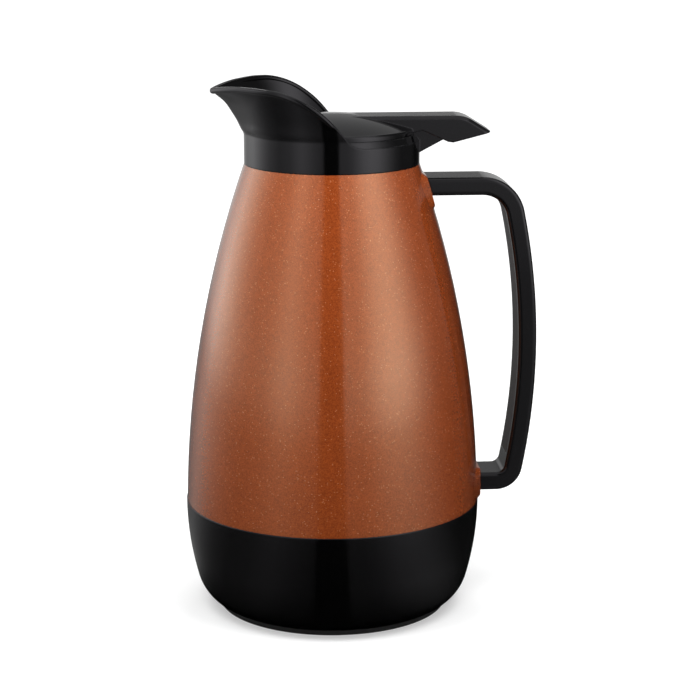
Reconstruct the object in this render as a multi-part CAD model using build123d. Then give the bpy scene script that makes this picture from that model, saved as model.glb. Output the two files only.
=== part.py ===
from build123d import *
import os
from math import asin, atan2, cos, hypot, pi, radians, sin, sqrt

# Thermal carafe: foam-insulated server with a spout collar, a thumb-lever lid and a bow handle.
# Millimetres. The origin is on the body axis in the plane of the table, +X to the handle, +Z up.

# Body outline
low_seam_z = 53.7            # shell meets base cup
low_seam_r = 71.9
high_seam_z = 220.1          # shell meets spout collar
collar_r = 42.2
shell_bulge = 6.85           # rise of the shell's side over its straight chord
shell_wall = 2.2
fit_gap = 0.1                # between moulded parts that plug together
soft_gap = 0.3               # round foam and seals

# Base cup and foot
cup_lip = 0.4                # the cup's rim stands proud of the shell
cup_r = low_seam_r + cup_lip
cup_bow_r = 143.1            # upright arc of the cup's side
cup_corner_r = 20.7
cup_corner_low = 0.08        # lowest point of the corner arc's full circle
cup_wall = 2.4
foot_h = 3.0
foot_inset = 1.3             # from the edge of the cup's flat bottom
foot_w = 6.3
foot_tongue_w = 2.8
foot_tongue_h = 1.3
skirt_depth = 7.7            # shell skirt inside the cup
skirt_wall = 2.0
plug_r = 7.0
plug_flange_r = 9.5
plug_flange_h = 1.2

# Inner liner and insulation
foam_depth = 10.2            # side wall insulation
liner_wall = 1.8
liner_floor_z = 16.0
liner_corner_r = 20.0
liner_neck_r = 30.5
liner_top_z = 223.6
liner_flange_w = 4.3
liner_flange_h = 1.6
liner_seal_h = 1.4

# Shell neck inside the collar
neck_h = 8.4
neck_wall = 2.2
shell_step = 6.0             # height of the wall's run-in at both ends of the shell
neck_lead = 2.0

# Spout collar
collar_wall = 2.1
mouth_r = 32.0
mouth_wall = 2.3
seat_z = 232.6               # ledge that the lid rests on
seat_r = 39.6
ridge_z = 234.7              # low ridge round the lid
ridge_w = 0.5
shoulder_z = 231.6
deck_wall = 2.2
spout_wall = 2.0
shoulder_bevel = 0.8         # under the shoulder edge; the spout starts here

# Lid
lid_r = 39.3
lid_lift = 0.3               # running gap between lid and seat
dome_top_z = 243.7
dome_r = 118.0
lid_edge_r = 1.3
lid_wall = 2.1
plug_gap = 1.0
plug_taper = 1.0
plug_floor_z = 226.0
plug_wall = 1.8
seal_z = 229.2
seal_h = 3.2
seal_depth = 1.4
flange_h = 1.5
lid_screw_ring_r = 21.0
lid_boss_r = 3.6
lid_screw_angles = (60, 180, 300)
lid_screw_grip = 8.0

# Thumb lever, part of the lid cover
lever_w = 20.0
lever_wall = 1.8
lever_top_z = 243.1
lever_chamfer = 1.6
lever_tip_x = 75.7
lever_tip_z = 234.9
lever_droop_x = 59.0         # where the top starts to fall
lever_droop_r = 15.0
lever_heel_x = 56.4
lever_heel_z = 230.3
lever_root_x = 36.4          # front of the channel under the lever
lever_start_x = 4.0          # its front end lies inside the dome
lever_lift = 0.7             # its underside over the collar's ridge
tip_corner_r = 3.5

# Hinge
hinge_x = 41.0
hinge_z = 237.5
pin_r = 1.5
pin_gap = 0.05
knuckle_r = 3.1
bracket_w = 15.8
cheek_w = 2.9
bracket_nose_x = 53.2
bracket_nose_z = 231.8
bracket_foot_z = 225.8
wire_r = 0.45
coil_r = 2.6
coil_turns = 4.5
coil_pitch = 1.4
lid_leg = 13.0
bracket_leg = 8.5
web_z = 234.2

# Handle
handle_w = 23.0
arm_top_z = 213.6
arm_under_z = 204.9
foot_arm_top_z = 66.1
foot_arm_under_z = 57.3
grip_reach = 99.5
grip_thick = 8.8
grip_bow_r = 321.6
upper_bend_r = 20.9
lower_bend_r = 13.0
handle_round = 1.8
handle_wall = 2.4
cover_w = 15.0
cover_thick = 2.0
cover_ledge = 1.3            # the cover rests on this step round the channel
upper_block_x = 61.0         # the arms are solid from the body to here
lower_block_z = 75.0

# Handle pads and fasteners
pad_w = 25.0
pad_corner_r = 3.0
upper_flank = (6.0, 8.4, 8.0)    # depth of the flanks under the face, their spread sideways and upright
lower_flank = (5.0, 11.0, 3.0)
upper_pad_ends = ((0.7, 214.5), (0.2, 200.0))    # stand-off from the shell's side, height
lower_pad_ends = ((1.1, 68.2), (0.7, 54.4))
pad_wall = (6.2, 5.4)        # from the shell's side to the flat faces inside it
plate_room = 8.5             # half height of the foam's recess round a plate
plate_thick = 1.5
plate_w = 22.0
plate_h = 9.0
screw_r = 2.0
screw_head_r = 3.5
screw_head_h = 2.2
screw_y = 6.0
screw_grip = 12.0
small_screw_r = 1.4
small_head_r = 2.7
small_head_h = 1.5


# A closed face in the X-Z plane. A leg is an end point, or (middle, end) for an arc.
def profile(start, *legs):
    edges = []
    here = start
    for leg in (*legs, start):
        arc = isinstance(leg[0], tuple)
        end = leg[1] if arc else leg
        if arc:
            edges.append(ThreePointArc(here, leg[0], end))
        elif end != here:
            edges.append(Line(here, end))
        here = end
    return Plane.XZ * make_face(edges)


def turned(*points):
    return revolve(profile(*points), Axis.Z)


def box(low, high):
    size = [b - a for a, b in zip(low, high)]
    return Pos(*[(a + b) / 2 for a, b in zip(low, high)]) * Box(*size)


def rod(radius, start, end):
    way = Vector(end) - Vector(start)
    return extrude(Plane(origin=start, z_dir=way) * Circle(radius), way.length)


def ring(inner, outer, low, high):
    return turned((inner, low), (outer, low), (outer, high), (inner, high))


# Circle through two points that rises by bulge over their chord: centre r, centre z, radius.
def bowed(a, b, bulge):
    chord = hypot(b[0] - a[0], b[1] - a[1])
    radius = (chord**2 / 4 + bulge**2) / (2 * bulge)
    out = ((b[1] - a[1]) / chord, -(b[0] - a[0]) / chord)
    back = bulge - radius
    return (a[0] + b[0]) / 2 + out[0] * back, (a[1] + b[1]) / 2 + out[1] * back, radius


side = bowed((low_seam_r, low_seam_z), (collar_r, high_seam_z), shell_bulge)


# Point of the shell's side arc at height z, moved inwards by depth.
def side_at(z, depth=0.0):
    return side[0] + sqrt((side[2] - depth) ** 2 - (z - side[1]) ** 2), z


def side_arc(z_from, z_to, depth=0.0):
    return side_at((z_from + z_to) / 2, depth), side_at(z_to, depth)


# Height where the side arc, moved inwards by depth, has the radius r.
def side_height(r, depth):
    return side[1] + sqrt((side[2] - depth) ** 2 - (r - side[0]) ** 2)


# The cup's side arc turns into its corner arc; both are moved inwards by depth.
cup_centre = (cup_r - cup_bow_r, low_seam_z)
corner_angle = -asin((low_seam_z - cup_corner_r - cup_corner_low) / (cup_bow_r - cup_corner_r))
corner_centre = (
    cup_centre[0] + (cup_bow_r - cup_corner_r) * cos(corner_angle),
    cup_centre[1] + (cup_bow_r - cup_corner_r) * sin(corner_angle),
)


def cup_side(angle, depth):
    radius = cup_bow_r - depth
    return cup_centre[0] + radius * cos(angle), cup_centre[1] + radius * sin(angle)


def cup_corner(angle, depth):
    radius = cup_corner_r - depth
    return corner_centre[0] + radius * cos(angle), corner_centre[1] + radius * sin(angle)


def cup_angle_at(z, depth):
    return atan2(z - corner_centre[1], sqrt((cup_corner_r - depth) ** 2 - (z - corner_centre[1]) ** 2))


foot_r = cup_corner(cup_angle_at(foot_h, 0), 0)[0] - foot_inset


# Legs of a cup outline from the rim at height top down to the height floor.
def cup_legs(top, floor, depth):
    start = atan2(top - cup_centre[1], sqrt((cup_bow_r - depth) ** 2 - (top - cup_centre[1]) ** 2))
    end = cup_angle_at(floor, depth)
    first = cup_side(start, depth)
    half_side = (start + corner_angle) / 2
    half_corner = (corner_angle + end) / 2
    return first, [
        (cup_side(half_side, depth), cup_side(corner_angle, depth)),
        (cup_corner(half_corner, depth), cup_corner(end, depth)),
    ]


# Handle pad: a flat facet on the shell with flared flanks, from two corners of its face.
def pad_block(top, bottom, flank):
    depth, spread, rise = flank
    down = Vector(bottom[0] - top[0], 0, bottom[1] - top[1])
    middle = ((top[0] + bottom[0]) / 2, 0, (top[1] + bottom[1]) / 2)
    face = Plane(origin=middle, x_dir=(0, 1, 0), z_dir=down.cross(Vector(0, 1, 0)))
    outer = face * RectangleRounded(pad_w, down.length, pad_corner_r)
    height = down.length + 2 * rise
    inner = face.offset(-depth) * RectangleRounded(pad_w + 2 * spread, height, 0.45 * height)
    return loft([inner.face(), outer.face()])


def pad_face(ends):
    return [(side_at(z)[0] + stand_off, z) for stand_off, z in ends]


between_seams = rod(2 * low_seam_r, (0, 0, low_seam_z), (0, 0, high_seam_z))
pads = pad_block(*pad_face(upper_pad_ends), upper_flank) & between_seams
pads += pad_block(*pad_face(lower_pad_ends), lower_flank) & between_seams
arm_mid_z = (arm_top_z + arm_under_z) / 2
foot_arm_mid_z = (foot_arm_top_z + foot_arm_under_z) / 2
upper_inside_x = side_at(arm_mid_z)[0] - pad_wall[0]
lower_inside_x = side_at(foot_arm_mid_z)[0] - pad_wall[1]
screw_spots = [(x, z, y) for x, z in ((upper_inside_x, arm_mid_z), (lower_inside_x, foot_arm_mid_z))
               for y in (-screw_y, screw_y)]
neck_r = collar_r - collar_wall - fit_gap
neck_top_z = high_seam_z + neck_h
deck_z = seat_z - deck_wall
tube_low_z = liner_top_z + liner_seal_h + fit_gap
skirt_low_z = low_seam_z - skirt_depth
step_z = low_seam_z + shell_step
throat_z = high_seam_z - shell_step


def screw_holes(gap, start, end):
    holes = [rod(screw_r + gap, (x + start, y, z), (x + end, y, z)) for x, z, y in screw_spots]
    return holes[0] + holes[1:]


def outer_shell():
    cup_inside = cup_side(atan2(skirt_low_z - cup_centre[1], cup_bow_r), cup_wall)[0]
    skirt_r = cup_inside - fit_gap
    neck_in = neck_r - neck_wall
    block = turned(
        (0, low_seam_z), side_at(low_seam_z), side_arc(low_seam_z, high_seam_z), (0, high_seam_z)
    ) + pads
    inside = turned(
        (0, skirt_low_z), (skirt_r - skirt_wall, skirt_low_z), (skirt_r - skirt_wall, low_seam_z + neck_lead),
        side_at(step_z, shell_wall), side_arc(step_z, throat_z, shell_wall),
        (neck_in, high_seam_z - neck_lead), (neck_in, neck_top_z), (0, neck_top_z),
    )
    half = pad_w / 2 + 1
    inside -= box((upper_inside_x, -half, arm_mid_z - 7), (collar_r + 8, half, throat_z - 0.5))
    inside -= box((lower_inside_x, -half, low_seam_z), (low_seam_r, half, foot_arm_mid_z + 7))
    skirt = ring(skirt_r - skirt_wall - 1, skirt_r, skirt_low_z, low_seam_z)
    neck = ring(neck_in, neck_r, high_seam_z - 0.5, neck_top_z)
    return block + skirt + neck - inside - screw_holes(2 * fit_gap, -1, 15)


def base_cup():
    first, legs = cup_legs(low_seam_z, foot_h, 0)
    inner_first, inner_legs = cup_legs(low_seam_z, foot_h + cup_wall, cup_wall)
    cup = turned((0, low_seam_z), first, *legs, (0, foot_h))
    cup -= turned((0, low_seam_z), inner_first, *inner_legs, (0, foot_h + cup_wall))
    mid_r = foot_r - foot_w / 2
    cup += ring(mid_r - foot_tongue_w, mid_r + foot_tongue_w, foot_h + 1, foot_h + cup_wall + foot_tongue_h)
    half = foot_tongue_w / 2
    cup -= ring(mid_r - half, mid_r + half, foot_h, foot_h + foot_tongue_h)
    return cup - rod(plug_r, (0, 0, 0), (0, 0, foot_h + cup_wall))


def foot_ring():
    mid_r = foot_r - foot_w / 2
    half = foot_tongue_w / 2 - fit_gap
    tread = ring(foot_r - foot_w, foot_r, 0, foot_h)
    tread = fillet(tread.edges().filter_by(GeomType.CIRCLE).group_by(Axis.Z)[0], 0.8)
    return tread + ring(mid_r - half, mid_r + half, foot_h, foot_h + foot_tongue_h - fit_gap)


def foam_plug():
    stem = rod(plug_r - fit_gap, (0, 0, foot_h), (0, 0, foot_h + cup_wall + 1))
    return stem + rod(plug_flange_r, (0, 0, foot_h - plug_flange_h), (0, 0, foot_h))


# The liner's outline, grown by grow; the foam is cut with the grown one.
def liner_form(grow, top_z):
    depth = shell_wall + foam_depth - grow
    neck = liner_neck_r + liner_wall + grow
    corner_z = liner_floor_z + liner_corner_r
    corner_x = side_at(corner_z, depth)[0] - liner_corner_r - grow
    reach = liner_corner_r + grow
    bend = (corner_x + reach * sin(pi / 4), corner_z - reach * cos(pi / 4))
    neck_z = side_height(neck, depth)
    return turned(
        (0, corner_z - reach), (corner_x, corner_z - reach), (bend, (corner_x + reach, corner_z)),
        side_arc(corner_z, neck_z, depth), (neck, top_z), (0, top_z),
    )


def inner_liner():
    flange = ring(liner_neck_r, liner_neck_r + liner_flange_w + liner_wall,
                  liner_top_z - liner_flange_h, liner_top_z)
    return liner_form(0, liner_top_z) - liner_form(-liner_wall, liner_top_z) + flange


def insulation_foam():
    top_z = high_seam_z - neck_lead - soft_gap
    depth = shell_wall + soft_gap
    rise_z = skirt_low_z - 1
    skirt_in = cup_side(0, cup_wall)[0] - fit_gap - skirt_wall - 2 * soft_gap
    first, legs = cup_legs(rise_z, foot_h + cup_wall + foot_tongue_h + soft_gap, cup_wall + soft_gap)
    foam = turned(
        (0, top_z), (neck_r - neck_wall - soft_gap, top_z), side_at(throat_z - soft_gap, depth),
        side_arc(throat_z - soft_gap, step_z + 1, depth), (skirt_in, low_seam_z + neck_lead),
        (skirt_in, rise_z), first, *legs, (0, legs[-1][1][1]),
    )
    foam -= liner_form(soft_gap, high_seam_z)
    half = pad_w / 2 + 1 + soft_gap
    back = plate_thick + screw_head_h + soft_gap
    for x, z in ((upper_inside_x, arm_mid_z), (lower_inside_x, foot_arm_mid_z)):
        foam -= box((x - back, -half, z - plate_room), (x + grip_thick, half, z + plate_room))
    return foam


def liner_gasket():
    low = liner_top_z + 0.05
    return ring(mouth_r + 0.2, liner_neck_r + liner_wall + liner_flange_w - 0.2, low, low + liner_seal_h)


def neck_seal():
    return ring(neck_r - neck_wall + 0.2, neck_r - 0.2, neck_top_z + 0.05, deck_z - 0.05)


# One level of the spout: a round back, two flatter sides and a small round tip, all tangent.
def spout_level(z, shift, back_r, side_r, tip_r, tip_x, inset):
    if side_r == back_r:
        hub = tip = side_hub = (-shift, 0)
        u = (-cos(radians(10)), sin(radians(10)))
        v = (-cos(radians(5)), sin(radians(5)))
    else:
        hub = (-shift, 0)
        tip = (tip_r - tip_x, 0)
        gap = hub[0] - tip[0]
        along = ((side_r - tip_r) ** 2 - (side_r - back_r) ** 2 - gap**2) / (2 * gap)
        side_hub = (hub[0] + along, -sqrt((side_r - back_r) ** 2 - along**2))
        u = ((hub[0] - side_hub[0]) / (side_r - back_r), -side_hub[1] / (side_r - back_r))
        v = ((tip[0] - side_hub[0]) / (side_r - tip_r), -side_hub[1] / (side_r - tip_r))
    back, flank, nose = back_r - inset, side_r - inset, tip_r - inset
    mid = (u[0] + v[0], u[1] + v[1])
    reach = hypot(*mid)
    a = (hub[0] + back * u[0], back * u[1])
    b = (side_hub[0] + flank * mid[0] / reach, side_hub[1] + flank * mid[1] / reach)
    c = (tip[0] + nose * v[0], nose * v[1])
    wire = Wire([
        ThreePointArc((a[0], -a[1]), (hub[0] + back, 0), a),
        ThreePointArc(a, b, c),
        ThreePointArc(c, (tip[0] - nose, 0), (c[0], -c[1])),
        ThreePointArc((c[0], -c[1]), (b[0], -b[1]), (a[0], -a[1])),
    ])
    return Pos(0, 0, z) * make_face(wire)


# Height, forward shift, back radius, side radius, tip radius, reach of the tip, extra lip wall
spout_start_z = shoulder_z - shoulder_bevel
spout_levels = (
    (spout_start_z, 0.0, collar_r, collar_r, collar_r, collar_r, 0.0),
    (232.2, 0.0, collar_r, collar_r, collar_r, collar_r, 0.0),
    (233.5, 0.0, collar_r, collar_r, collar_r, collar_r, 0.0),
    (237.0, 0.4, 42.5, 62.0, 28.0, 43.6, 0.0),
    (241.0, 0.8, 42.9, 75.0, 19.0, 45.5, 0.0),
    (245.5, 1.4, 43.6, 95.0, 12.0, 48.2, 0.0),
    (250.0, 2.0, 44.6, 125.0, 7.0, 51.4, 0.6),
    (254.0, 2.4, 45.6, 160.0, 4.8, 56.2, 1.2),
    (257.5, 2.6, 46.2, 180.0, 4.2, 58.3, 1.6),
    (262.0, 2.7, 46.5, 190.0, 4.2, 58.6, 1.6),
)
rim_line = ((-61.0, 254.9), (-43.0, 258.7), (-29.0, 258.3), (-17.0, 254.5), (-6.0, 246.9), (4.0, 236.3),
            (13.0, shoulder_z))


# The spout's outside, or the room inside it, which starts a little lower
def spout_form(inset):
    levels = []
    for z, shift, back_r, side_r, tip_r, tip_x, lip in spout_levels:
        thin = lip if inset else 0
        low = spout_wall + 1 if inset and z == spout_start_z else 0
        levels.append(spout_level(z - low, shift, back_r, side_r, tip_r, tip_x - thin, inset))
    return loft(levels)


def spout_collar():
    wall_in = collar_r - collar_wall
    tube_r = mouth_r + mouth_wall
    core = turned(
        (0, tube_low_z), (tube_r, tube_low_z), (tube_r, deck_z), (wall_in, deck_z), (wall_in, high_seam_z),
        (collar_r, high_seam_z), (collar_r, spout_start_z), (collar_r - 0.5, shoulder_z),
        (seat_r + ridge_w, ridge_z), (0, ridge_z),
    )
    top = spout_levels[-1][0] + 3
    far = 2 * collar_r
    room = profile((-far, ridge_z), (-12, ridge_z), (8, shoulder_z - 2), (far, shoulder_z - 2), (far, top),
                   (-far, top))
    spout = spout_form(0) - (spout_form(spout_wall) & extrude(room, far, both=True))
    above = Plane.XZ * make_face([
        Spline(*rim_line, tangents=[(1, 0.35), (1, -0.1)]),
        Polyline(rim_line[-1], (far, shoulder_z), (far, top), (-far, top), (-far, rim_line[0][1]),
                 rim_line[0]),
    ])
    collar = core + (spout - extrude(above, far, both=True))
    collar -= rod(mouth_r, (0, 0, tube_low_z - 1), (0, 0, ridge_z + 1))
    collar -= rod(seat_r, (0, 0, seat_z), (0, 0, top))
    half = lever_w / 2 + 1.5
    collar -= box((lever_root_x, -half, seat_z), (collar_r + 1, half, ridge_z + 1))
    return collar + hinge_bracket()


# Two cheeks and a web that carry the hinge pin behind the collar
def hinge_bracket():
    wall_x = collar_r - 1.2
    slope = radians(35)
    up = (bracket_nose_x - hinge_x) * 0.8
    plate = profile(
        (wall_x, bracket_foot_z - 0.5), (bracket_nose_x, bracket_nose_z),
        (bracket_nose_x - up, bracket_nose_z + up * sin(slope) / cos(slope)),
        (hinge_x - knuckle_r + 0.3, hinge_z), (hinge_x - knuckle_r, shoulder_z - 0.5),
        (wall_x, shoulder_z - 0.5),
    )
    knuckle = Plane.XZ * Pos(hinge_x, hinge_z) * Circle(knuckle_r)
    cheeks = extrude(plate, bracket_w / 2, both=True) + extrude(knuckle, bracket_w / 2, both=True)
    inner = bracket_w / 2 - cheek_w
    gap = box((hinge_x - 6, -inner, shoulder_z), (bracket_nose_x + 1, inner, hinge_z + 6))
    web = profile(
        (wall_x, bracket_foot_z - 0.5), (bracket_nose_x, bracket_nose_z), (bracket_nose_x - 3.4, web_z),
        (hinge_x + knuckle_r + 0.8, web_z), (hinge_x + knuckle_r + 0.8, shoulder_z), (wall_x, shoulder_z),
    )
    bracket = cheeks - gap + extrude(web, inner, both=True)
    return bracket - rod(pin_r + pin_gap, (hinge_x, -bracket_w, hinge_z), (hinge_x, bracket_w, hinge_z))


# The region between the body and the handle's outline; two of them bound the bow.
def bow_region(top_z, low_z, reach, top_r, low_r):
    centre_x = grip_reach - grip_bow_r
    radius = reach - centre_x
    mid_z = (arm_top_z + foot_arm_under_z) / 2 - 5.2
    top_x = centre_x + sqrt(radius**2 - (top_z - mid_z) ** 2)
    low_x = centre_x + sqrt(radius**2 - (low_z - mid_z) ** 2)
    start_x = collar_r - 4
    area = make_face([
        Line((start_x, top_z), (top_x, top_z)),
        ThreePointArc((top_x, top_z), (reach, mid_z), (low_x, low_z)),
        Polyline((low_x, low_z), (start_x, low_z), (start_x, top_z)),
    ])
    corners = area.vertices().sort_by(Axis.X)[-2:].sort_by(Axis.Y)
    area = fillet(corners[1], top_r)
    corners = area.vertices().filter_by(lambda v: abs(v.Y - low_z) < 0.01).sort_by(Axis.X)
    return fillet(corners[-1], low_r)


def bow(outer_cut, inner_cut):
    thick = grip_thick
    outside = bow_region(arm_top_z - outer_cut, foot_arm_under_z + outer_cut, grip_reach - outer_cut,
                         upper_bend_r - outer_cut, lower_bend_r - outer_cut)
    inside = bow_region(arm_under_z - inner_cut, foot_arm_top_z + inner_cut, grip_reach - thick - inner_cut,
                        upper_bend_r - thick - inner_cut, lower_bend_r - thick - inner_cut)
    return Plane.XZ * (outside - inside)


def body_form():
    return turned(
        (0, low_seam_z), side_at(low_seam_z), side_arc(low_seam_z, high_seam_z), (0, high_seam_z)
    ) + pads


# Where the bow is hollow: past the solid blocks that take the screws
def hollow_room(gap):
    mid_z = (arm_mid_z + foot_arm_mid_z) / 2
    far = grip_reach + 1
    half = cover_w / 2 - gap
    return (box((upper_block_x + gap, -half, mid_z), (far, half, arm_top_z))
            + box((low_seam_r, -half, lower_block_z + gap), (far, half, mid_z)))


def handle_shell():
    bar = extrude(bow(0, 0), handle_w / 2, both=True)
    rims = bar.edges().filter_by(lambda e: abs(abs(e.center().Y) - handle_w / 2) < 0.01)
    bar = fillet(rims.filter_by(lambda e: e.center().X > collar_r), handle_round)
    bar -= extrude(bow(handle_wall, handle_wall), handle_w, both=True) & hollow_room(cover_ledge)
    bar -= extrude(bow(grip_thick - cover_thick, handle_wall), handle_w, both=True) & hollow_room(0)
    return bar - body_form() - screw_holes(fit_gap, 0, screw_grip + 8)


def handle_cover():
    return extrude(bow(grip_thick - cover_thick, 0), handle_w, both=True) & hollow_room(fit_gap)


def backing_plate(inside_x, z):
    half_w, half_h = plate_w / 2, plate_h / 2
    plate = box((inside_x - plate_thick, -half_w, z - half_h), (inside_x, half_w, z + half_h))
    return plate - screw_holes(fit_gap, -plate_thick - 1, 1)


def handle_screws():
    screws = []
    for x, z, y in screw_spots:
        back = x - plate_thick
        head = rod(screw_head_r, (back - screw_head_h, y, z), (back, y, z))
        shank = rod(screw_r, (back, y, z), (x + 5 + screw_grip, y, z))
        slot = box((back - screw_head_h, y - 0.5, z - 2.4), (back - screw_head_h + 1, y + 0.5, z + 2.4))
        cross = box((back - screw_head_h, y - 2.4, z - 0.5), (back - screw_head_h + 1, y + 2.4, z + 0.5))
        screws.append(head + shank - slot - cross)
    return Compound(screws)


# The lid's domed top face at radius r, lowered by depth.
def dome_z(r, depth=0.0):
    return dome_top_z - dome_r + sqrt((dome_r - depth) ** 2 - r**2)


lid_low_z = seat_z + lid_lift
lever_inner = lever_w / 2 - lever_wall
lid_screw_spots = [(lid_screw_ring_r * cos(radians(a)), lid_screw_ring_r * sin(radians(a)))
                   for a in lid_screw_angles]
cavity_r = lever_root_x - lid_wall - 0.8
boss_z = plug_floor_z + plug_wall + 1.5


# Side outline of the thumb lever: its top lowered by depth, its foot at the height foot_z or lower.
def lever_top(depth):
    bend = lever_droop_r - depth
    fall = atan2(lever_top_z - lever_tip_z, lever_tip_x - lever_droop_x) * 1.3
    hub = (lever_droop_x, lever_top_z - lever_droop_r)
    half = (hub[0] + bend * sin(fall / 2), hub[1] + bend * cos(fall / 2))
    end = (hub[0] + bend * sin(fall), hub[1] + bend * cos(fall))
    return (lever_droop_x, lever_top_z - depth), half, end


def thumb_lever():
    start, half, end = lever_top(0)
    low_z = ridge_z + lever_lift
    side_view = profile(
        (lever_start_x, lever_top_z), start, (half, end), (lever_tip_x, lever_tip_z + 0.5),
        (lever_tip_x - 0.4, lever_tip_z),
        (lever_heel_x + 1.2, lever_heel_z + 0.1), (lever_heel_x - 1.2, lever_heel_z + 0.4),
        (hinge_x + 1.5, hinge_z - 1.2), (hinge_x - 2, low_z), (lever_start_x, low_z),
    )
    lever = extrude(side_view, lever_w / 2, both=True)
    top_edges = lever.edges().filter_by(
        lambda e: abs(abs(e.center().Y) - lever_w / 2) < 0.01 and e.center().Z > lever_tip_z + 1.5
        and e.center().X > lever_start_x
    )
    lever = chamfer(top_edges, lever_chamfer)
    ends = RectangleRounded(2 * lever_tip_x, lever_w, tip_corner_r)
    return lever & extrude(Pos(0, 0, lever_heel_z - 5) * ends, 30)


def lid_cover():
    bend = 0.29 * lid_edge_r
    shoulder = lid_r - lid_edge_r
    dome = turned((0, lid_low_z), (lid_r - 0.3, lid_low_z), (lid_r, lid_low_z + 0.3),
                  (lid_r, dome_z(shoulder) - lid_edge_r),
                  ((lid_r - bend, dome_z(shoulder) - bend), (shoulder, dome_z(shoulder))),
                  ((lid_r / 2, dome_z(lid_r / 2)), (0, dome_top_z)))
    dome -= box((lever_root_x, -lever_inner, seat_z), (collar_r, lever_inner, lever_top_z - lid_wall - 0.5))
    cavity = turned((0, lid_low_z), (cavity_r, lid_low_z), (cavity_r, dome_z(cavity_r, lid_wall)),
                    ((cavity_r / 2, dome_z(cavity_r / 2, lid_wall)), (0, dome_top_z - lid_wall)))
    start, half, end = lever_top(lid_wall)
    room = profile((lever_root_x, lever_top_z - lid_wall), start, (half, end),
                   (lever_tip_x - 2.5, lever_tip_z - 2), (lever_tip_x, lever_heel_z - 5),
                   (lever_root_x, lever_heel_z - 5))
    tail = Pos(0, 0, lever_heel_z - 6) * RectangleRounded(
        2 * (lever_tip_x - lever_wall), 2 * lever_inner, tip_corner_r - lever_wall)
    cover = dome + (thumb_lever() - (extrude(room, lever_inner, both=True) & extrude(tail, 30)))
    cover -= cavity & box((-lid_r, -lid_r, 0), (lid_r, lid_r, lever_top_z - lid_wall))
    for x, y in lid_screw_spots:
        cover += rod(lid_boss_r, (x, y, boss_z), (x, y, dome_z(lid_screw_ring_r) - 1))
        cover -= rod(small_screw_r + pin_gap, (x, y, boss_z - 1), (x, y, boss_z + lid_screw_grip + 0.5))
    cover -= rod(pin_r + 0.02, (hinge_x, -lever_inner - 1.2, hinge_z), (hinge_x, lever_w, hinge_z))
    return cover - rod(2 * pin_r - 0.5, (hinge_x, lever_w / 2 - 0.9, hinge_z), (hinge_x, lever_w, hinge_z))


def lid_plate():
    top_r = mouth_r - plug_gap
    low_r = top_r - plug_taper
    cup = turned((0, plug_floor_z), (low_r - 1, plug_floor_z), (low_r, plug_floor_z + 1), (top_r, lid_low_z),
                 (cavity_r - fit_gap, lid_low_z), (cavity_r - fit_gap, lid_low_z + flange_h),
                 (0, lid_low_z + flange_h))
    cup -= turned((0, plug_floor_z + plug_wall), (low_r - seal_depth - plug_wall, plug_floor_z + plug_wall),
                  (low_r - seal_depth - plug_wall, lid_low_z + flange_h), (0, lid_low_z + flange_h))
    cup -= ring(low_r - seal_depth + 0.3, mouth_r, seal_z, seal_z + seal_h)
    for x, y in lid_screw_spots:
        cup += rod(lid_boss_r, (x, y, plug_floor_z + 1), (x, y, boss_z))
        cup -= rod(small_head_r + fit_gap, (x, y, 0), (x, y, plug_floor_z + small_head_h))
        cup -= rod(small_screw_r + fit_gap, (x, y, 0), (x, y, boss_z))
    return cup


def lid_seal():
    inner = mouth_r - plug_gap - plug_taper - seal_depth + 0.35
    low, high = seal_z + fit_gap, seal_z + seal_h - fit_gap
    lip = mouth_r - soft_gap
    middle = (low + high) / 2
    return turned((inner, low), (lip - 0.9, low), (lip, middle - 0.4), (lip, middle + 0.4),
                  (lip - 0.9, high), (inner, high))


def lid_insulation():
    outer = mouth_r - plug_gap - plug_taper - seal_depth - plug_wall - soft_gap
    low = plug_floor_z + plug_wall + soft_gap
    disc = ring(0, outer, low, lid_low_z + flange_h)
    for x, y in lid_screw_spots:
        disc -= rod(lid_boss_r + soft_gap, (x, y, 0), (x, y, dome_top_z))
    return disc


def lid_screws():
    screws = []
    for x, y in lid_screw_spots:
        head_z = plug_floor_z + small_head_h
        head = rod(small_head_r, (x, y, plug_floor_z + 0.1), (x, y, head_z))
        slot = box((x - 0.35, y - 1.8, 0), (x + 0.35, y + 1.8, plug_floor_z + 0.8))
        cross = box((x - 1.8, y - 0.35, 0), (x + 1.8, y + 0.35, plug_floor_z + 0.8))
        shank = rod(small_screw_r, (x, y, head_z), (x, y, boss_z + lid_screw_grip))
        screws.append(head + shank - slot - cross)
    return Compound(screws)


def hinge_pin():
    pin = rod(pin_r, (hinge_x, -lever_inner - 1.1, hinge_z), (hinge_x, lever_w / 2 - 1, hinge_z))
    return chamfer(pin.edges().filter_by(GeomType.CIRCLE), 0.2)


def pin_cap():
    return rod(2 * pin_r - 0.55, (hinge_x, lever_w / 2 - 0.9, hinge_z), (hinge_x, lever_w / 2, hinge_z))


# Two arcs with one tangent where they meet
def biarc(start, start_way, end, end_way):
    chord = end - start
    along = chord.dot(start_way + end_way)
    turn = 2 * (1 - start_way.dot(end_way))
    reach = (sqrt(along**2 + turn * chord.dot(chord)) - along) / turn
    first = start + start_way * reach
    last = end - end_way * reach
    middle = (first + last) * 0.5
    return [TangentArc(start, middle, tangent=start_way), TangentArc(middle, end, tangent=last - first)]


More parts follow.
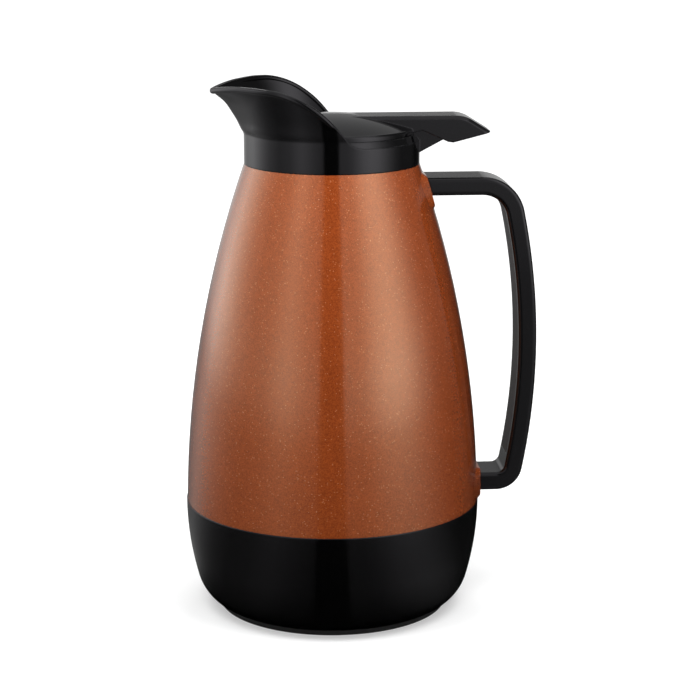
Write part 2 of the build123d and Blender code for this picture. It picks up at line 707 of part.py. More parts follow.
# Torsion spring: a coil round the pin, one leg under the lever's roof and one on the bracket's web
def lid_spring():
    climb = coil_pitch / (2 * pi * coil_r)
    spots = []
    for quarter in range(round(4 * coil_turns) + 1):
        angle = quarter * pi / 2
        y = coil_pitch * (quarter / 4 - coil_turns / 2)
        spot = Vector(hinge_x - coil_r * sin(angle), y, hinge_z + coil_r * cos(angle))
        spots.append((spot, Vector(-cos(angle), climb, -sin(angle)).normalized()))
    (begin, begin_way), (finish, finish_way) = spots[0], spots[-1]
    tip = begin - begin_way * lid_leg
    path = [Line(tip, begin)]
    for (here, way), (there, next_way) in zip(spots, spots[1:]):
        path += biarc(here, way, there, next_way)
    path.append(Line(finish, finish + finish_way * bracket_leg))
    spring = sweep(Plane(origin=tip, z_dir=begin_way) * Circle(wire_r), Wire(path))
    turns = [edge.position_at(0.5) for edge in path[1:-1]]
    least = min((a - b).length for a, b in zip(turns, turns[8:])) - 2 * wire_r
    print("spring: least gap between turns", round(least, 2))
    return spring


made = {
    "outer_shell": outer_shell(),
    "base_cup": base_cup(),
    "foot_ring": foot_ring(),
    "foam_plug": foam_plug(),
    "inner_liner": inner_liner(),
    "insulation_foam": insulation_foam(),
    "liner_gasket": liner_gasket(),
    "neck_seal": neck_seal(),
    "spout_collar": spout_collar(),
    "handle_shell": handle_shell(),
    "handle_cover": handle_cover(),
    "handle_screws": handle_screws(),
    "upper_backing_plate": backing_plate(upper_inside_x, arm_mid_z),
    "lower_backing_plate": backing_plate(lower_inside_x, foot_arm_mid_z),
    "lid_cover": lid_cover(),
    "lid_plate": lid_plate(),
    "lid_seal": lid_seal(),
    "lid_insulation": lid_insulation(),
    "lid_screws": lid_screws(),
    "hinge_pin": hinge_pin(),
    "pin_cap": pin_cap(),
    "lid_spring": lid_spring(),
}
os.makedirs("parts", exist_ok=True)
for node, shape in made.items():
    export_step(shape, f"parts/{node}.step")
    print(node, len(shape.solids()), round(shape.volume))
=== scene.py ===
# Thermal carafe: finishes, rim bead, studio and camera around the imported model.
# Metres. +X points to the handle, -Y to the camera, +Z up.
import bpy
from math import cos, pi, radians, sin
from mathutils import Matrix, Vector
from mathutils.bvhtree import BVHTree


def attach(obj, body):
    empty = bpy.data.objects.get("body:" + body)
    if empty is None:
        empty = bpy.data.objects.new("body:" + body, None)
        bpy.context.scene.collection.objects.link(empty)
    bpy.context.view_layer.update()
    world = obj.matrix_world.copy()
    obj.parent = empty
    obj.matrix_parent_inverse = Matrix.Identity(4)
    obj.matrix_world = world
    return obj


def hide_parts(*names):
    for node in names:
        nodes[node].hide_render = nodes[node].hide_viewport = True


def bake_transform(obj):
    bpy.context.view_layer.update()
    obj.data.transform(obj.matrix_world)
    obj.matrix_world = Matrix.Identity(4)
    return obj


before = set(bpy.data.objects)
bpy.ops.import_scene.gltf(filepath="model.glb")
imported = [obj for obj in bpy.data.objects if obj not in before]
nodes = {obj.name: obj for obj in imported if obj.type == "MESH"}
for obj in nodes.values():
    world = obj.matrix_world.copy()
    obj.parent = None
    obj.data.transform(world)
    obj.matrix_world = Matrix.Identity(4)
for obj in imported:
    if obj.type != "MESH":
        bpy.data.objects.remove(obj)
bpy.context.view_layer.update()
print("frame loaded:", len(nodes), "nodes")


# Small helpers for node trees

def addNode(tree, kind, spot, **settings):
    node = tree.nodes.new(kind)
    node.location = spot
    for name, value in settings.items():
        setattr(node, name, value)
    return node


def setInputs(node, values):
    for name, value in values.items():
        node.inputs[name].default_value = value
    return node


def newGroup(name, inputs, outputs):
    group = bpy.data.node_groups.new(name, "ShaderNodeTree")
    for label, kind, value in inputs:
        socket = group.interface.new_socket(name=label, in_out="INPUT", socket_type=kind)
        socket.default_value = value
    for label, kind in outputs:
        group.interface.new_socket(name=label, in_out="OUTPUT", socket_type=kind)
    source = addNode(group, "NodeGroupInput", (-900, 0))
    sink = addNode(group, "NodeGroupOutput", (700, 0))
    return group, source, sink


def emptyMaterial(name, kind):
    material = bpy.data.materials.new(name)
    material.use_nodes = True
    tree = material.node_tree
    tree.nodes.clear()
    shader = addNode(tree, kind, (300, 0))
    result = addNode(tree, "ShaderNodeOutputMaterial", (600, 0))
    tree.links.new(shader.outputs[0], result.inputs["Surface"])
    return material, tree, shader


def newMaterial(name):
    material, tree, shader = emptyMaterial(name, "ShaderNodeBsdfPrincipled")
    place = addNode(tree, "ShaderNodeTexCoord", (-1300, 0))
    return material, tree, shader, place.outputs["Object"]


def meshObject(name, points, faces):
    mesh = bpy.data.meshes.new(name)
    mesh.from_pydata(points, [], faces)
    piece = bpy.data.objects.new(name, mesh)
    bpy.context.scene.collection.objects.link(piece)
    return piece


# Shared effects

# Metal flakes under a clear skin: a mask of the ones painted bright as glints, a shade for each and
# a tilted normal
def flakeGroup():
    group, source, sink = newGroup(
        "flakes",
        [("Vector", "NodeSocketVector", (0, 0, 0)), ("Size", "NodeSocketFloat", 0.0005),
         ("Share", "NodeSocketFloat", 0.1), ("Tilt", "NodeSocketFloat", 0.2)],
        [("Mask", "NodeSocketFloat"), ("Shade", "NodeSocketFloat"),
         ("Normal", "NodeSocketVector")])
    link = group.links.new
    perMetre = addNode(group, "ShaderNodeMath", (-700, 200), operation="DIVIDE")
    perMetre.inputs[0].default_value = 1.0
    link(source.outputs["Size"], perMetre.inputs[1])
    cells = addNode(group, "ShaderNodeTexVoronoi", (-500, 100), feature="F1")
    link(source.outputs["Vector"], cells.inputs["Vector"])
    link(perMetre.outputs[0], cells.inputs["Scale"])
    parts = addNode(group, "ShaderNodeSeparateColor", (-300, 200))
    link(cells.outputs["Color"], parts.inputs[0])
    bright = addNode(group, "ShaderNodeMath", (-100, 250), operation="LESS_THAN")
    link(parts.outputs["Red"], bright.inputs[0])
    link(source.outputs["Share"], bright.inputs[1])
    link(bright.outputs[0], sink.inputs["Mask"])
    link(parts.outputs["Green"], sink.inputs["Shade"])
    centred = addNode(group, "ShaderNodeVectorMath", (-300, -100), operation="SUBTRACT")
    link(cells.outputs["Color"], centred.inputs[0])
    centred.inputs[1].default_value = (0.5, 0.5, 0.5)
    tilted = addNode(group, "ShaderNodeVectorMath", (-100, -100), operation="SCALE")
    link(centred.outputs[0], tilted.inputs[0])
    link(source.outputs["Tilt"], tilted.inputs["Scale"])
    geometry = addNode(group, "ShaderNodeNewGeometry", (-300, -300))
    total = addNode(group, "ShaderNodeVectorMath", (100, -150), operation="ADD")
    link(geometry.outputs["Normal"], total.inputs[0])
    link(tilted.outputs[0], total.inputs[1])
    unit = addNode(group, "ShaderNodeVectorMath", (300, -150), operation="NORMALIZE")
    link(total.outputs[0], unit.inputs[0])
    link(unit.outputs[0], sink.inputs["Normal"])
    return group


# The skin of a moulding: a faint orange peel as height, slow cloudiness and fine handling scuffs
def skinGroup():
    group, source, sink = newGroup(
        "mouldedSkin",
        [("Vector", "NodeSocketVector", (0, 0, 0)), ("Peel Scale", "NodeSocketFloat", 350.0),
         ("Cloud Scale", "NodeSocketFloat", 18.0), ("Scuff Scale", "NodeSocketFloat", 90.0)],
        [("Height", "NodeSocketFloat"), ("Cloud", "NodeSocketFloat"),
         ("Scuff", "NodeSocketFloat")])
    link = group.links.new
    peel = setInputs(addNode(group, "ShaderNodeTexNoise", (-500, 250)),
                     {"Detail": 2.0, "Roughness": 0.4})
    link(source.outputs["Vector"], peel.inputs["Vector"])
    link(source.outputs["Peel Scale"], peel.inputs["Scale"])
    link(peel.outputs["Fac"], sink.inputs["Height"])
    cloud = setInputs(addNode(group, "ShaderNodeTexNoise", (-500, 0)),
                      {"Detail": 3.0, "Roughness": 0.55})
    link(source.outputs["Vector"], cloud.inputs["Vector"])
    link(source.outputs["Cloud Scale"], cloud.inputs["Scale"])
    link(cloud.outputs["Fac"], sink.inputs["Cloud"])
    stretch = addNode(group, "ShaderNodeVectorMath", (-700, -250), operation="MULTIPLY")
    link(source.outputs["Vector"], stretch.inputs[0])
    stretch.inputs[1].default_value = (6.0, 6.0, 0.6)       # scuffs run up and down
    scuff = setInputs(addNode(group, "ShaderNodeTexNoise", (-500, -250)),
                      {"Detail": 6.0, "Roughness": 0.7, "Distortion": 0.6})
    link(stretch.outputs[0], scuff.inputs["Vector"])
    link(source.outputs["Scuff Scale"], scuff.inputs["Scale"])
    sharp = setInputs(addNode(group, "ShaderNodeMapRange", (-250, -250)),
                      {"From Min": 0.6, "From Max": 0.75})
    link(scuff.outputs["Fac"], sharp.inputs["Value"])
    link(sharp.outputs["Result"], sink.inputs["Scuff"])
    return group


# Where an edge is worn: how far a rounded normal turns away from the true one, broken up by noise
def wearGroup():
    group, source, sink = newGroup(
        "edgeWear",
        [("Vector", "NodeSocketVector", (0, 0, 0)), ("Width", "NodeSocketFloat", 0.0008),
         ("Breakup", "NodeSocketFloat", 300.0)],
        [("Mask", "NodeSocketFloat")])
    link = group.links.new
    rounded = addNode(group, "ShaderNodeBevel", (-500, 200), samples=4)
    link(source.outputs["Width"], rounded.inputs["Radius"])
    geometry = addNode(group, "ShaderNodeNewGeometry", (-500, 0))
    same = addNode(group, "ShaderNodeVectorMath", (-300, 100), operation="DOT_PRODUCT")
    link(rounded.outputs[0], same.inputs[0])
    link(geometry.outputs["Normal"], same.inputs[1])
    turned = setInputs(addNode(group, "ShaderNodeMapRange", (-100, 100)),
                       {"From Min": 0.995, "From Max": 0.9})
    link(same.outputs["Value"], turned.inputs["Value"])
    noise = setInputs(addNode(group, "ShaderNodeTexNoise", (-300, -150)), {"Detail": 3.0})
    link(source.outputs["Vector"], noise.inputs["Vector"])
    link(source.outputs["Breakup"], noise.inputs["Scale"])
    broken = addNode(group, "ShaderNodeMath", (150, 0), operation="MULTIPLY")
    link(turned.outputs["Result"], broken.inputs[0])
    link(noise.outputs["Fac"], broken.inputs[1])
    link(broken.outputs[0], sink.inputs["Mask"])
    return group


flakes = flakeGroup()
mouldedSkin = skinGroup()
edgeWear = wearGroup()
print("shared effects ready")


def placeGroup(tree, group, spot, vector, values):
    node = addNode(tree, "ShaderNodeGroup", spot, node_tree=group)
    tree.links.new(vector, node.inputs["Vector"])
    return setInputs(node, values)


# Bumps the surface by a height, on top of a normal if there is one
def bumpNormal(tree, shader, height, strength, depth, normal=None):
    bump = setInputs(addNode(tree, "ShaderNodeBump", (0, -300)),
                     {"Strength": strength, "Distance": depth})
    tree.links.new(height, bump.inputs["Height"])
    if normal:
        tree.links.new(normal, bump.inputs["Normal"])
    tree.links.new(bump.outputs[0], shader.inputs["Normal"])


# The factor, and either colour, is a value or the socket that gives it
def mixColour(tree, spot, factor, low, high):
    mix = addNode(tree, "ShaderNodeMix", spot, data_type="RGBA")
    for name, value in (("Factor", factor), ("A", low), ("B", high)):
        socket = mix.inputs[name]
        if isinstance(value, bpy.types.NodeSocket):
            tree.links.new(value, socket)
        else:
            socket.default_value = value
    return mix.outputs["Result"]


# A value between lowest and highest, mapped to between low and high
def mapTo(tree, spot, value, low, high, lowest=0.0, highest=1.0):
    node = setInputs(addNode(tree, "ShaderNodeMapRange", spot),
                     {"From Min": lowest, "From Max": highest, "To Min": low, "To Max": high})
    tree.links.new(value, node.inputs["Value"])
    return node.outputs["Result"]


# Copper-coloured shell: dyed plastic with fine metal flakes under a clear skin; a few flakes carry
# a painted glint, a bright colour mixed into the base colour
shellLook = {
    "deep": (0.17, 0.028, 0.005, 1), "light": (0.43, 0.084, 0.018, 1),
    # the next colour and its share: painted flake glints, bright specks mixed into the base colour
    "paintedGlint": (0.5, 0.18, 0.08, 1), "paintedGlintShare": 0.014,
    "flakeSize": 0.0004, "flakeTilt": 0.05, "metal": (0.0, 0.1),
    "rough": (0.13, 0.18), "pearlIor": 2.06, "pearlTint": (1, 0.7, 0.34, 1),
    "coat": 1.0, "coatRough": 0.07, "peel": 0.01, "peelDepth": 0.0004,
    "cloudScale": 22.0, "flakeShare": 0.7, "cloudShare": 0.3,
}


def shellMaterial():
    look = shellLook
    material, tree, shader, place = newMaterial("copperPlastic")
    link = tree.links.new
    flake = placeGroup(tree, flakes, (-900, 300), place,
                       {"Size": look["flakeSize"], "Share": look["paintedGlintShare"],
                        "Tilt": look["flakeTilt"]})
    skin = placeGroup(tree, mouldedSkin, (-900, -100), place, {"Cloud Scale": look["cloudScale"]})
    grain = addNode(tree, "ShaderNodeMath", (-700, 200), operation="MULTIPLY_ADD")
    link(flake.outputs["Shade"], grain.inputs[0])
    grain.inputs[1].default_value = look["flakeShare"]
    link(mapTo(tree, (-900, 50), skin.outputs["Cloud"], 0.0, look["cloudShare"]), grain.inputs[2])
    ground = mixColour(tree, (-500, 200), grain.outputs[0], look["deep"], look["light"])
    # painted glints: the masked flakes take a bright colour whatever the light
    glinted = mixColour(tree, (-300, 200), flake.outputs["Mask"], ground, look["paintedGlint"])
    link(glinted, shader.inputs["Base Color"])
    metal = mapTo(tree, (-300, 0), flake.outputs["Shade"], *look["metal"])
    link(metal, shader.inputs["Metallic"])
    rough = mapTo(tree, (-300, -200), skin.outputs["Cloud"], *look["rough"])
    link(rough, shader.inputs["Roughness"])
    bumpNormal(tree, shader, skin.outputs["Height"], look["peel"], look["peelDepth"],
               flake.outputs["Normal"])
    setInputs(shader, {"Coat Weight": look["coat"], "Coat Roughness": look["coatRough"],
                       "IOR": look["pearlIor"], "Specular Tint": look["pearlTint"]})
    return material


# Plain mouldings: one recipe, with values for each finish. Edge is the radius that the
# highlights of a sharp edge are rounded to, and wear is the width of its worn band.
mouldings = {
    "blackPlastic": {"colour": (0.0011, 0.0011, 0.0012, 1), "cloud": (0.0019, 0.0019, 0.002, 1),
                     "worn": (0.012, 0.012, 0.013, 1), "rough": (0.07, 0.12), "specular": 0.5,
                     "peel": 0.012, "peelScale": 260.0, "wear": 0.0006, "edge": 0.0009,
                     "sheen": (0.97, 0.94, 1.0, 1)},
    "coverPlastic": {"colour": (0.02, 0.02, 0.022, 1), "cloud": (0.026, 0.026, 0.028, 1),
                     "worn": (0.07, 0.07, 0.075, 1), "rough": (0.36, 0.48), "specular": 0.4,
                     "peel": 0.12, "peelScale": 1500.0, "wear": 0.0005, "edge": 0.0005,
                     "sheen": (1, 1, 1, 1)},
    "linerPlastic": {"colour": (0.02, 0.02, 0.022, 1), "cloud": (0.03, 0.03, 0.032, 1),
                     "worn": (0.06, 0.06, 0.06, 1), "rough": (0.3, 0.42), "specular": 0.4,
                     "peel": 0.08, "peelScale": 600.0, "wear": 0.0005, "edge": 0.0006,
                     "sheen": (1, 1, 1, 1)},
    "silicone": {"colour": (0.42, 0.42, 0.4, 1), "cloud": (0.5, 0.5, 0.48, 1),
                 "worn": (0.55, 0.55, 0.52, 1), "rough": (0.45, 0.6), "specular": 0.4,
                 "peel": 0.05, "peelScale": 800.0, "wear": 0.0004, "edge": 0.0004,
                 "sheen": (1, 1, 1, 1)},
    "footRubber": {"colour": (0.04, 0.04, 0.04, 1), "cloud": (0.055, 0.055, 0.054, 1),
                   "worn": (0.11, 0.11, 0.108, 1), "rough": (0.6, 0.8), "specular": 0.35,
                   "peel": 0.3, "peelScale": 1200.0, "wear": 0.0008, "edge": 0.0006,
                   "sheen": (1, 1, 1, 1)},
    "castFoam": {"colour": (0.62, 0.52, 0.3, 1), "cloud": (0.72, 0.63, 0.42, 1),
                 "worn": (0.5, 0.4, 0.22, 1), "rough": (0.8, 0.95), "specular": 0.2,
                 "peel": 0.6, "peelScale": 900.0, "wear": 0.0008, "edge": 0.0008,
                 "sheen": (1, 1, 1, 1)},
}
# What all mouldings share: how much a scuff roughens, and how deep the orange peel is
mouldingShared = {"scuffShare": 0.35, "peelDepth": 0.0003}


def mouldedMaterial(name):
    look = mouldings[name]
    material, tree, shader, place = newMaterial(name)
    link = tree.links.new
    skin = placeGroup(tree, mouldedSkin, (-900, 0), place, {"Peel Scale": look["peelScale"]})
    wear = placeGroup(tree, edgeWear, (-900, 350), place, {"Width": look["wear"]})
    ground = mixColour(tree, (-500, 250), skin.outputs["Cloud"], look["colour"], look["cloud"])
    worn = mixColour(tree, (-250, 250), wear.outputs["Mask"], ground, look["worn"])
    link(worn, shader.inputs["Base Color"])
    scuffed = addNode(tree, "ShaderNodeMath", (-500, -50), operation="MULTIPLY_ADD")
    link(skin.outputs["Scuff"], scuffed.inputs[0])
    scuffed.inputs[1].default_value = mouldingShared["scuffShare"]
    link(skin.outputs["Cloud"], scuffed.inputs[2])
    rough = mapTo(tree, (-250, -50), scuffed.outputs[0], *look["rough"])
    link(rough, shader.inputs["Roughness"])
    edge = setInputs(addNode(tree, "ShaderNodeBevel", (-250, -400), samples=6),
                     {"Radius": look["edge"]})
    bumpNormal(tree, shader, skin.outputs["Height"], look["peel"], mouldingShared["peelDepth"],
               edge.outputs[0])
    setInputs(shader, {"Specular IOR Level": look["specular"], "Specular Tint": look["sheen"]})
    return material


# Drawn and rolled steel of the pin, screws, plates and spring
steelLook = {"bright": (0.62, 0.61, 0.6, 1), "dull": (0.4, 0.39, 0.38, 1), "rough": (0.22, 0.42),
             "peelScale": 2500.0, "cloudScale": 160.0, "scuffScale": 400.0,
             "peel": 0.1, "peelDepth": 0.0001}


def steelMaterial():
    look = steelLook
    material, tree, shader, place = newMaterial("springSteel")
    link = tree.links.new
    skin = placeGroup(tree, mouldedSkin, (-900, 0), place,
                      {"Peel Scale": look["peelScale"], "Cloud Scale": look["cloudScale"],
                       "Scuff Scale": look["scuffScale"]})
    colour = mixColour(tree, (-300, 200), skin.outputs["Cloud"], look["bright"], look["dull"])
    link(colour, shader.inputs["Base Color"])
    rough = mapTo(tree, (-300, 0), skin.outputs["Scuff"], *look["rough"])
    link(rough, shader.inputs["Roughness"])
    bumpNormal(tree, shader, skin.outputs["Height"], look["peel"], look["peelDepth"])
    setInputs(shader, {"Metallic": 1.0})
    return material


materials = {name: mouldedMaterial(name) for name in mouldings}
materials["copperPlastic"] = shellMaterial()
materials["springSteel"] = steelMaterial()
print("materials ready:", len(materials))

# The finish of each node
finishes = {
    "copperPlastic": ["outer_shell"],
    "blackPlastic": ["base_cup", "foam_plug", "spout_collar", "handle_shell", "lid_cover",
                     "pin_cap"],
    "coverPlastic": ["handle_cover"],
    "linerPlastic": ["inner_liner", "lid_plate"],
    "silicone": ["liner_gasket", "neck_seal", "lid_seal"],
    "footRubber": ["foot_ring"],
    "castFoam": ["insulation_foam", "lid_insulation"],
    "springSteel": ["handle_screws", "upper_backing_plate", "lower_backing_plate", "lid_screws",
                    "hinge_pin", "lid_spring"],
}
for finish, members in finishes.items():
    for member in members:
        slots = nodes[member].material_slots
        for slot in slots:
            slot.material = materials[finish]
        if not slots:
            nodes[member].data.materials.append(materials[finish])
print("finishes assigned:", sum(len(members) for members in finishes.values()), "nodes")


# The rolled bead along the pouring rim. It follows the collar's own wall, which rays find from
# outside. Its stations stand at angles round the hub, from the spout's tip back to the limit
# on the shoulder, and crowd towards the tip.
rimBead = {
    "radius": 0.00145, "endRadius": 0.0004, "bluntness": 0.6, "sides": 16,
    "hub": -0.02, "reach": 0.12, "limit": 122, "taper": 14, "stations": 81, "crowd": 1.6,
    "startHeight": 0.255, "tries": 12, "lower": 0.001, "belowTop": 0.0005, "above": 0.04,
    "inset": 0.001, "sink": 0.00115, "top": 0.2588, "smoothing": 3,
}


def rimPath():
    look = rimBead
    mesh = nodes["spout_collar"].data
    wall = BVHTree.FromPolygons([v.co for v in mesh.vertices], [f.vertices for f in mesh.polygons])
    half, height = [], look["startHeight"]
    for i in range(look["stations"]):
        angle = look["limit"] * (i / (look["stations"] - 1)) ** look["crowd"]
        out = Vector((-cos(radians(angle)), sin(radians(angle)), 0))
        for _ in range(look["tries"]):      # lowers the ray to the wall, then settles under its top
            start = Vector((look["hub"], 0, height)) + look["reach"] * out
            spot, facing = wall.ray_cast(start, -out, look["reach"])[:2]
            if spot is None:
                height -= look["lower"]
                continue
            inside = spot - look["inset"] * Vector((facing.x, facing.y, 0)).normalized()
            top = wall.ray_cast(inside + Vector((0, 0, look["above"])), Vector((0, 0, -1)))[0]
            height = top.z - look["belowTop"]
        level = min(top.z - look["sink"], look["top"] - look["radius"])
        share = min(1, (look["limit"] - angle) / look["taper"])
        growth = (look["radius"] - look["endRadius"]) * share ** look["bluntness"]
        half.append((Vector((inside.x, inside.y, level)), look["endRadius"] + growth))
    near = [(Vector((spot.x, -spot.y, spot.z)), radius) for spot, radius in half]
    return near[:0:-1] + half


def makeRimBead():
    look = rimBead
    path = rimPath()
    for _ in range(look["smoothing"]):      # takes the facets out of the line
        middles = [(path[i - 1][0] + 2 * path[i][0] + path[i + 1][0]) / 4
                   for i in range(1, len(path) - 1)]
        path[1:-1] = [(middle, spot[1]) for middle, spot in zip(middles, path[1:-1])]
    points, faces, sides = [], [], look["sides"]
    for i, (middle, radius) in enumerate(path):
        before, after = path[max(i - 1, 0)][0], path[min(i + 1, len(path) - 1)][0]
        along = (after - before).normalized()
        across = along.cross(Vector((0, 0, 1))).normalized()
        up = across.cross(along)
        for k in range(sides):
            turn = 2 * pi * k / sides
            points.append(middle + radius * (cos(turn) * across + sin(turn) * up))
    for i in range(len(path) - 1):
        for k in range(sides):
            here, beside = sides * i + k, sides * i + (k + 1) % sides
            faces.append((here, beside, beside + sides, here + sides))
    faces += [tuple(range(sides))[::-1], tuple(len(points) - sides + k for k in range(sides))]
    bead = meshObject("rimBead", points, faces)
    bead.data.polygons.foreach_set("use_smooth", [True] * len(bead.data.polygons))
    bead.data.materials.append(materials["blackPlastic"])
    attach(bead, "carafe")
    print("rim bead:", len(faces), "faces")


def makeSpring():
    spring = bpy.data.objects.new("windingSpring", nodes["lid_spring"].data.copy())
    bpy.context.scene.collection.objects.link(spring)
    spring.data.materials.clear()
    spring.data.materials.append(materials["springSteel"])
    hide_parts("lid_spring")
    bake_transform(spring)
    print("spring", len(spring.data.polygons), "faces")


# Studio: a pale floor, a white surround, lamps, and panels that only reflections see.
# A bearing is in degrees to the right of the camera, seen from the carafe.

studio = {
    "floorHalf": 6.0, "floorColour": (0.57, 0.57, 0.57, 1), "floorDarker": 0.985,
    "floorNoise": {"Scale": 3.0, "Detail": 2.0},
    "floorSkin": {"Roughness": 0.7, "Specular IOR Level": 0.2},
    # the floor's glow near the carafe, where its shadow shows, and far off, where all is white
    "floorGlow": (0.48, 1.0), "floorGlowReach": (0.12, 0.9),
    "ambient": 0.16,
    "lampTarget": (0, 0, 0.17),
    "lamps": {      # bearing, distance, height, width, tall, radiance
        "rightLamp": (52, 0.36, 0.78, 0.4, 0.4, 9.6),
        "leftLamp": (-58, 0.36, 0.78, 0.4, 0.4, 8.4),
        "frontLamp": (-4, 0.42, 0.85, 0.4, 0.4, 3.2),
        "topLamp": (165, 0.42, 0.85, 0.5, 0.5, 4.5),
    },
    # the surround's outline as radius and height: a dish on the floor, then a wall
    "surroundShape": ((0.05, 0.0006), (0.3, 0.0006), (0.45, 0.015), (0.6, 0.045), (0.75, 0.08),
                      (0.9, 0.12), (1.2, 0.24), (1.5, 0.45), (1.7, 0.75), (1.7, 2.6)),
    "surroundSides": 120,
    # its brightness by bearing, with a dark gap round the camera, times its brightness by radius
    "surroundLevels": ((-180, 0.6), (-150, 0.5), (-141, 0.6), (-132, 0.9), (-120, 1.3),
                       (-108, 1.2), (-86, 0.6), (-70, 0.38), (-54, 0.51), (-44, 0.78),
                       (-37, 0.88), (-30, 0.75), (-22, 0.55), (-10.5, 0.34), (-9, 0.0),
                       (9, 0.0), (10.5, 0.47), (20, 0.5), (27, 0.66), (42, 1.36), (52, 1.57),
                       (62, 1.4), (70, 1.0), (80, 0.55), (90, 0.24), (101, 0.1), (124, 0.06),
                       (137, 0.01), (155, 0.02), (165, 0.4), (180, 0.6)),
    "surroundFade": ((0.0, 0.0), (0.062, 0.0), (0.08, 0.06), (0.1, 0.14), (0.2, 0.2),
                     (0.6, 0.43), (0.8, 0.88), (1.05, 1.15), (1.4, 1.05), (1.7, 1.0)),
    "surroundPeak": 2.0,            # both ramps hold shares of this level
    "surroundSpan": 2.0,            # the radius at the far end of the fade's ramp
    "ceiling": (2.6, 2.0, 0.7),     # height, half width, brightness
    # behind the carafe: first and last bearing, distance, low and high edge, brightness
    "rear": {"rearPanel": (150, 210, 1.45, 0.45, 2.6, 0.3),
             "rearLowPanel": (150, 210, 1.45, 0.3, 0.45, 0.06)},
    "rearStep": 4,
}


# 1 for rays from the camera, reflections and transmission, and 0 for the light on the object
def backgroundRay(tree):
    path = addNode(tree, "ShaderNodeLightPath", (-700, 0))
    seen = addNode(tree, "ShaderNodeMath", (-500, 0), operation="MAXIMUM")
    tree.links.new(path.outputs["Is Camera Ray"], seen.inputs[0])
    tree.links.new(path.outputs["Is Glossy Ray"], seen.inputs[1])
    either = addNode(tree, "ShaderNodeMath", (-300, 0), operation="MAXIMUM")
    tree.links.new(seen.outputs[0], either.inputs[0])
    tree.links.new(path.outputs["Is Transmission Ray"], either.inputs[1])
    return either.outputs[0]


def makeWorld():
    world = bpy.data.worlds.new("studioSurround")
    bpy.context.scene.world = world
    world.use_nodes = True
    tree = world.node_tree
    tree.nodes.clear()
    white = setInputs(addNode(tree, "ShaderNodeBackground", (0, 100)),
                      {"Color": (1, 1, 1, 1), "Strength": 1.0})
    plain = setInputs(addNode(tree, "ShaderNodeBackground", (0, -100)),
                      {"Color": (1, 1, 1, 1), "Strength": studio["ambient"]})
    mix = addNode(tree, "ShaderNodeMixShader", (200, 0))
    result = addNode(tree, "ShaderNodeOutputWorld", (400, 0))
    tree.links.new(backgroundRay(tree), mix.inputs[0])
    tree.links.new(plain.outputs[0], mix.inputs[1])
    tree.links.new(white.outputs[0], mix.inputs[2])
    tree.links.new(mix.outputs[0], result.inputs["Surface"])


def flatSquare(half, height):
    return [(x, y, height) for x, y in ((-half, -half), (half, -half), (half, half), (-half, half))]


def makeFloor():
    half = studio["floorHalf"]
    floor = meshObject("floor", flatSquare(half, 0), [(0, 1, 2, 3)])
    material, tree, shader, place = newMaterial("paleFloor")
    link = tree.links.new
    noise = setInputs(addNode(tree, "ShaderNodeTexNoise", (-600, 300)), studio["floorNoise"])
    link(place, noise.inputs["Vector"])
    darker = tuple(studio["floorDarker"] * c for c in studio["floorColour"][:3]) + (1,)
    colour = mixColour(tree, (-300, 300), noise.outputs["Fac"], studio["floorColour"], darker)
    link(colour, shader.inputs["Base Color"])
    setInputs(shader, studio["floorSkin"])
    away = addNode(tree, "ShaderNodeVectorMath", (-900, -300), operation="LENGTH")
    link(place, away.inputs[0])
    glow = mapTo(tree, (-500, -300), away.outputs["Value"], *studio["floorGlow"],
                 *studio["floorGlowReach"])
    shown = addNode(tree, "ShaderNodeMath", (-100, -200), operation="MULTIPLY")
    link(glow, shown.inputs[0])
    link(backgroundRay(tree), shown.inputs[1])
    shader.inputs["Emission Color"].default_value = (1, 1, 1, 1)
    link(shown.outputs[0], shader.inputs["Emission Strength"])
    floor.data.materials.append(material)


def bearingSpot(bearing, distance, height):
    angle = radians(-90 - view["bearing"] + bearing)
    return distance * cos(angle), distance * sin(angle), height


# A ramp from 0 to 1 with a level at each position, as shares of the surround's peak
def shadeRamp(tree, spot, factor, levels):
    node = addNode(tree, "ShaderNodeValToRGB", spot)
    stops = node.color_ramp.elements
    while len(stops) < len(levels):
        stops.new(0.5)
    for stop, (position, level) in zip(stops, levels):
        share = level / studio["surroundPeak"]
        stop.position = position
        stop.color = (share, share, share, 1)
    tree.links.new(factor, node.inputs["Fac"])
    return node.outputs["Color"]


def glowMaterial(name, brightness=0.0):
    material, tree, glow = emptyMaterial(name, "ShaderNodeEmission")
    setInputs(glow, {"Color": (1, 1, 1, 1), "Strength": brightness})
    return material, tree, glow


# The radial gradient runs from 0 to 1 as the bearing goes from -180 to 180
def surroundMaterial(name):
    span = studio["surroundSpan"]
    material, tree, glow = glowMaterial(name)
    link = tree.links.new
    place = addNode(tree, "ShaderNodeTexCoord", (-900, 0)).outputs["Object"]
    around = addNode(tree, "ShaderNodeTexGradient", (-700, 100), gradient_type="RADIAL")
    link(place, around.inputs["Vector"])
    level = shadeRamp(tree, (-500, 100), around.outputs["Fac"],
                      [(0.5 + bearing / 360, level) for bearing, level in studio["surroundLevels"]])
    flat = addNode(tree, "ShaderNodeVectorMath", (-900, -150), operation="MULTIPLY")
    flat.inputs[1].default_value = (1, 1, 0)
    link(place, flat.inputs[0])
    away = addNode(tree, "ShaderNodeVectorMath", (-700, -150), operation="LENGTH")
    link(flat.outputs[0], away.inputs[0])
    share = addNode(tree, "ShaderNodeMath", (-600, -150), operation="MULTIPLY")
    link(away.outputs["Value"], share.inputs[0])
    share.inputs[1].default_value = 1 / span
    fade = shadeRamp(tree, (-500, -150), share.outputs[0],
                     [(radius / span, level) for radius, level in studio["surroundFade"]])
    shade = addNode(tree, "ShaderNodeMath", (-100, 50), operation="MULTIPLY")
    link(level, shade.inputs[0])
    shade.inputs[1].default_value = studio["surroundPeak"] ** 2
    total = addNode(tree, "ShaderNodeMath", (50, 0), operation="MULTIPLY")
    link(shade.outputs[0], total.inputs[0])
    link(fade, total.inputs[1])
    link(total.outputs[0], glow.inputs["Strength"])
    return material


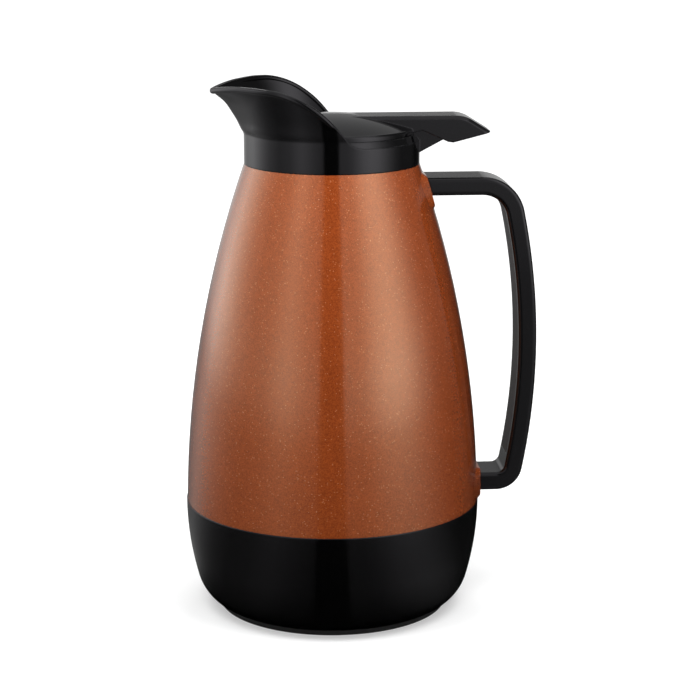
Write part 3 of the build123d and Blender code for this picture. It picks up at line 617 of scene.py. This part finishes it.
# A panel that only reflections see
def makePanel(name, points, faces, material):
    panel = meshObject(name, points, faces)
    panel.data.materials.append(material)
    panel.visible_camera = panel.visible_diffuse = panel.visible_transmission = False
    panel.visible_volume_scatter = panel.visible_shadow = False
    return panel


def makePanels():
    outline, sides = studio["surroundShape"], studio["surroundSides"]
    rows = len(outline)
    turns = [2 * pi * i / sides for i in range(sides)]
    points = [(r * cos(t), r * sin(t), z) for t in turns for r, z in outline]
    faces = []
    for i in range(sides):
        here, there = rows * i, rows * ((i + 1) % sides)
        faces += [(here + k, here + k + 1, there + k + 1, there + k) for k in range(rows - 1)]
    ring = makePanel("surroundPanel", points, faces, surroundMaterial("surroundPanel"))
    ring.rotation_euler = (0, 0, radians(-90 - view["bearing"]))
    height, half, brightness = studio["ceiling"]
    makePanel("ceilingPanel", flatSquare(half, height), [(0, 1, 2, 3)],
              glowMaterial("ceilingPanel", brightness)[0])
    for name, (first, last, distance, low, high, brightness) in studio["rear"].items():
        bearings = range(first, last + 1, studio["rearStep"])
        points = [bearingSpot(b, distance, z) for b in bearings for z in (low, high)]
        faces = [(2 * i, 2 * i + 2, 2 * i + 3, 2 * i + 1) for i in range(len(bearings) - 1)]
        makePanel(name, points, faces, glowMaterial(name, brightness)[0])


# The camera, fitted to the rings of the body in the photograph
view = {"place": (-0.0725, -1.0375, 0.370), "down": 13.13, "bearing": 4.48,
        "focalPixels": 2176.0, "framePixels": 700.0, "sensor": 36.0, "nearest": 0.05}


def makeCamera():
    data = bpy.data.cameras.new("camera")
    data.sensor_width = view["sensor"]
    data.lens = view["sensor"] * view["focalPixels"] / view["framePixels"]
    data.clip_start = view["nearest"]
    camera = bpy.data.objects.new("camera", data)
    camera.location = view["place"]
    camera.rotation_euler = (radians(90 - view["down"]), 0, radians(-view["bearing"]))
    bpy.context.scene.collection.objects.link(camera)
    bpy.context.scene.camera = camera


def makeLights():
    target = Vector(studio["lampTarget"])
    for name, (bearing, distance, height, width, tall, radiance) in studio["lamps"].items():
        data = bpy.data.lights.new(name, "AREA")
        data.shape = "RECTANGLE"
        data.size = width
        data.size_y = tall
        data.energy = radiance * pi * width * tall
        light = bpy.data.objects.new(name, data)
        light.visible_glossy = False
        light.location = bearingSpot(bearing, distance, height)
        light.rotation_euler = (target - light.location).to_track_quat("-Z", "Y").to_euler()
        bpy.context.scene.collection.objects.link(light)


makeRimBead()
makeSpring()
makeWorld()
makeFloor()
makeCamera()
makeLights()
makePanels()
bpy.context.scene.view_settings.view_transform = "Standard"
print("studio ready")
